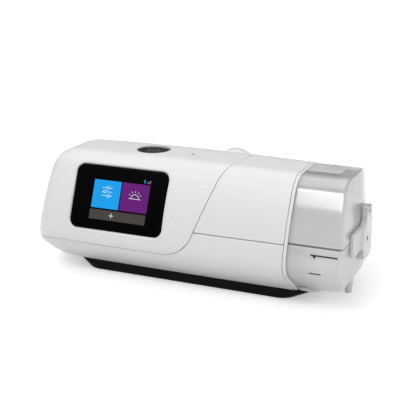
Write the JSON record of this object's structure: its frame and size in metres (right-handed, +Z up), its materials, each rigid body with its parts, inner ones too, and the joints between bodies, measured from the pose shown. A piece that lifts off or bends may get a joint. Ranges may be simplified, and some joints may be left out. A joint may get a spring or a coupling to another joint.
{
  "type": "bilevel PAP machine",
  "caption": "Bedside bilevel breathing machine: leaning white casing, colour touch screen, round start button, heated slide-in water tub with latch, low black base.",
  "frame": {"origin": "on the floor, under the middle of the machine's overall box", "axes": "+X to the user's right, towards the water tub's free end; +Y to the back, where the air outlet is; +Z up; the screen faces -Y"},
  "size_m": [0.2588, 0.1402, 0.0951],
  "materials": {
    "white_shell": "satin moulded white",
    "white_ring": "satin white",
    "bay_plastic": "smooth light grey",
    "base_black": "fine matt black",
    "foot_rubber": "matt",
    "steel": "plain",
    "black_glass": "glossy black",
    "display": "lit panel",
    "dark_plastic": "fine matt",
    "black_gloss": "glossy black",
    "circuit_board": "solder mask green",
    "ribbon": "amber film",
    "light_guide": "milky clear",
    "grey_plastic": "fine matt",
    "white_plastic": "fine matt",
    "copper": "wound",
    "soft_rubber": "matt",
    "foam": "open cell",
    "filter_felt": "felt",
    "silicone": "translucent",
    "aluminium": "plain",
    "heater_film": "amber film",
    "insulator": "mica sheet",
    "card_blue": "fine matt",
    "tub_clear": "frosted translucent",
    "lid_clear": "frosted translucent",
    "latch_clear": "frosted translucent"
  },
  "bodies": {
    "machine": {"fascia": "white_shell", "side_panel": "white_shell", "lower_housing": "white_shell", "rear_cover": "white_shell", "bay_trim_ring": "white_ring", "bay_liner": "bay_plastic", "base_plate": "base_black", "rubber_feet": "foot_rubber", "casing_screws": "steel", "screen_glass": "black_glass", "display_module": "display", "display_frame": "dark_plastic", "display_ribbon": "ribbon", "button_switch": "dark_plastic", "button_light_guide": "light_guide", "light_sensor_lens": "black_gloss", "top_board": "circuit_board", "main_board": "circuit_board", "board_clips": "grey_plastic", "modem_board": "circuit_board", "blower_lower": "grey_plastic", "blower_upper": "grey_plastic", "motor_stator": "copper", "shaft_bearings": "steel", "blower_mounts": "soft_rubber", "muffler_box": "grey_plastic", "muffler_foam": "foam", "air_filter": "filter_felt", "filter_hinge_pin": "steel", "supply_duct": "grey_plastic", "flow_sensor": "dark_plastic", "port_seals": "silicone", "outlet_elbow": "grey_plastic", "outlet_seal_ring": "soft_rubber", "heater_plate": "aluminium", "heater_element": "heater_film", "heater_insulator": "insulator", "power_inlet": "dark_plastic", "memory_card": "card_blue", "card_slot": "steel"},
    "water_tub": {"tub_base": "tub_clear", "tub_lid": "lid_clear", "lid_seal": "soft_rubber", "tub_heat_plate": "steel", "latch_pin": "steel"},
    "latch": {"tub_latch": "latch_clear"},
    "power_button": {"start_button": "black_gloss"},
    "filter_door": {"filter_cover": "white_shell"},
    "card_door": {"card_cover": "white_shell"},
    "air_outlet": {"outlet_connector": "white_plastic"},
    "blower_rotor": {"impeller": "white_plastic", "motor_shaft": "steel", "motor_rotor": "steel"}
  },
  "joints": [
    {"name": "tub_slide", "type": "slide", "parent": "machine", "child": "water_tub", "axis": [1, 0, 0], "range_m": [0, 0.068]},
    {"name": "latch_hinge", "type": "hinge", "parent": "water_tub", "child": "latch", "pos_m": [0.1275, -0.0095, 0.066], "axis": [0, -1, 0], "range_deg": [0, 50]},
    {"name": "start_button_press", "type": "slide", "parent": "machine", "child": "power_button", "axis": [0, -0.061, -0.9981], "range_m": [0, 0.001], "stiffness_N_per_m": 900, "springref_m": -0.0005},
    {"name": "filter_door_hinge", "type": "hinge", "parent": "machine", "child": "filter_door", "pos_m": [-0.074, 0.0602, 0.05815], "axis": [1, 0, 0], "range_deg": [0, 90]},
    {"name": "card_door_pull", "type": "slide", "parent": "machine", "child": "card_door", "axis": [-1, 0, 0], "range_m": [0, 0.014]},
    {"name": "air_outlet_pull", "type": "slide", "parent": "machine", "child": "air_outlet", "axis": [0, 1, 0], "range_m": [0, 0.022]},
    {"name": "blower_spin", "type": "hinge", "parent": "machine", "child": "blower_rotor", "pos_m": [-0.052, 0.014, 0.03], "axis": [0, 0, 1], "continuous": true}
  ]
}
